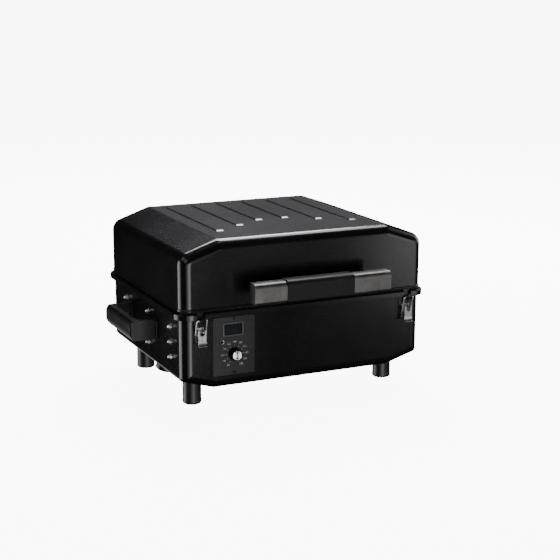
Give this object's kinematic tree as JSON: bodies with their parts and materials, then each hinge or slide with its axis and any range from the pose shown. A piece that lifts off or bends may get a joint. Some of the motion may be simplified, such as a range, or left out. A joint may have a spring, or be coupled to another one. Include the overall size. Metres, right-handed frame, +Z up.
{
  "type": "portable pellet smoker grill",
  "caption": "Table-top pellet smoker grill with a hinged lid, bar handle, toggle latches, carry handles, control panel, hopper, auger, fire pot, drip tray and cooking grate.",
  "frame": {"origin": "on the ground, at the middle of the bounding box seen from above", "axes": "+X to the grill's right, +Y to its back, where the lid hinges are, +Z up"},
  "size_m": [0.63, 0.4908, 0.3356],
  "materials": {
    "black_paint": "satin powder coat",
    "black_plastic": "fine grained",
    "black_rubber": "matt",
    "brushed_stainless": "brushed",
    "bright_plating": "bright zinc plate",
    "display_lens": "glossy dark lens",
    "bare_steel": "plain mill finish",
    "grate_enamel": "porcelain enamel",
    "gasket_felt": "woven high-temperature felt"
  },
  "bodies": {
    "tub": {"tub_shell": "black_paint", "tub_rim": "black_paint", "foot_front_left": "black_rubber", "foot_front_right": "black_rubber", "foot_back_left": "black_rubber", "foot_back_right": "black_rubber", "side_nut_left_1": "bright_plating", "side_nut_left_2": "bright_plating", "side_nut_left_3": "bright_plating", "side_nut_left_4": "bright_plating", "side_nut_left_5": "bright_plating", "side_nut_left_6": "bright_plating", "side_nut_right_1": "bright_plating", "side_nut_right_2": "bright_plating", "carry_handle_left": "black_plastic", "carry_handle_right": "black_plastic", "air_intake_cap": "black_plastic", "control_panel": "black_plastic", "display_window": "display_lens", "panel_screw_top": "bare_steel", "panel_screw_bottom": "bare_steel", "probe_socket": "bright_plating", "controller_box": "black_plastic", "latch_base_left": "bright_plating", "latch_base_right": "bright_plating", "hinge_tub_leaf_left": "black_paint", "hinge_tub_leaf_right": "black_paint", "hinge_pin_left": "bright_plating", "hinge_pin_right": "bright_plating", "power_inlet": "black_plastic", "divider_wall": "black_paint", "hopper_bin": "bare_steel", "auger_tube": "bare_steel", "auger_motor": "bare_steel", "fan_housing": "black_plastic", "fire_pot": "bare_steel", "igniter_rod": "bare_steel", "heat_baffle": "bare_steel", "temperature_probe": "bright_plating"},
    "lid": {"lid_shell": "black_paint", "lid_gasket": "gasket_felt", "handle_bar": "brushed_stainless", "handle_grip": "black_rubber", "handle_post_left": "bare_steel", "handle_post_right": "bare_steel", "latch_catch_left": "black_paint", "latch_catch_right": "black_paint", "hinge_lid_leaf_left": "black_paint", "hinge_lid_leaf_right": "black_paint"},
    "lever_left": {"latch_lever_left": "bright_plating"},
    "lever_right": {"latch_lever_right": "bright_plating"},
    "loop_left": {"latch_loop_left": "bright_plating"},
    "loop_right": {"latch_loop_right": "bright_plating"},
    "knob": {"knob": "black_plastic", "knob_cap": "bright_plating"},
    "hopper_lid": {"hopper_lid": "black_paint"},
    "auger": {"auger_screw": "bare_steel"},
    "fan": {"fan_impeller": "black_plastic"},
    "grate": {"cooking_grate": "grate_enamel"},
    "tray": {"drip_tray": "bare_steel"}
  },
  "joints": [
    {"name": "lid_hinge", "type": "hinge", "parent": "tub", "child": "lid", "pos_m": [0, 0.24115, 0.2015], "axis": [-1, 0, 0], "range_deg": [0, 85]},
    {"name": "hopper_lid_hinge", "type": "hinge", "parent": "tub", "child": "hopper_lid", "pos_m": [-0.106, 0.05715, 0.1962], "axis": [0, 1, 0], "range_deg": [0, 85]},
    {"name": "knob_turn", "type": "hinge", "parent": "tub", "child": "knob", "pos_m": [-0.1525, -0.18085, 0.111], "axis": [0, 1, 0], "range_deg": [-147, 147]},
    {"name": "auger_spin", "type": "hinge", "parent": "tub", "child": "auger", "pos_m": [-0.08, 0.04915, 0.084], "axis": [1, 0, 0], "continuous": true},
    {"name": "fan_spin", "type": "hinge", "parent": "tub", "child": "fan", "pos_m": [-0.196, -0.06885, 0.08], "axis": [0, 0, 1], "continuous": true},
    {"name": "grate_lift", "type": "slide", "parent": "tub", "child": "grate", "axis": [0, 0, 1], "range_m": [0, 0.06]},
    {"name": "tray_lift", "type": "slide", "parent": "tub", "child": "tray", "axis": [0, 0, 1], "range_m": [0, 0.02]},
    {"name": "latch_lever_left_swing", "type": "hinge", "parent": "tub", "child": "lever_left", "pos_m": [-0.223, -0.18385, 0.163], "axis": [-1, 0, 0], "range_deg": [0, 120]},
    {"name": "latch_loop_left_swing", "type": "hinge", "parent": "lever_left", "child": "loop_left", "pos_m": [-0.223, -0.18035, 0.157], "axis": [-1, 0, 0], "range_deg": [-126, 0]},
    {"name": "latch_lever_right_swing", "type": "hinge", "parent": "tub", "child": "lever_right", "pos_m": [0.223, -0.18385, 0.163], "axis": [-1, 0, 0], "range_deg": [0, 120]},
    {"name": "latch_loop_right_swing", "type": "hinge", "parent": "lever_right", "child": "loop_right", "pos_m": [0.223, -0.18035, 0.157], "axis": [-1, 0, 0], "range_deg": [-126, 0]}
  ],
  "couplings": [
    {"joint": "latch_loop_left_swing", "follows": "latch_lever_left_swing", "ratio": -1.05},
    {"joint": "latch_loop_right_swing", "follows": "latch_lever_right_swing", "ratio": -1.05}
  ]
}
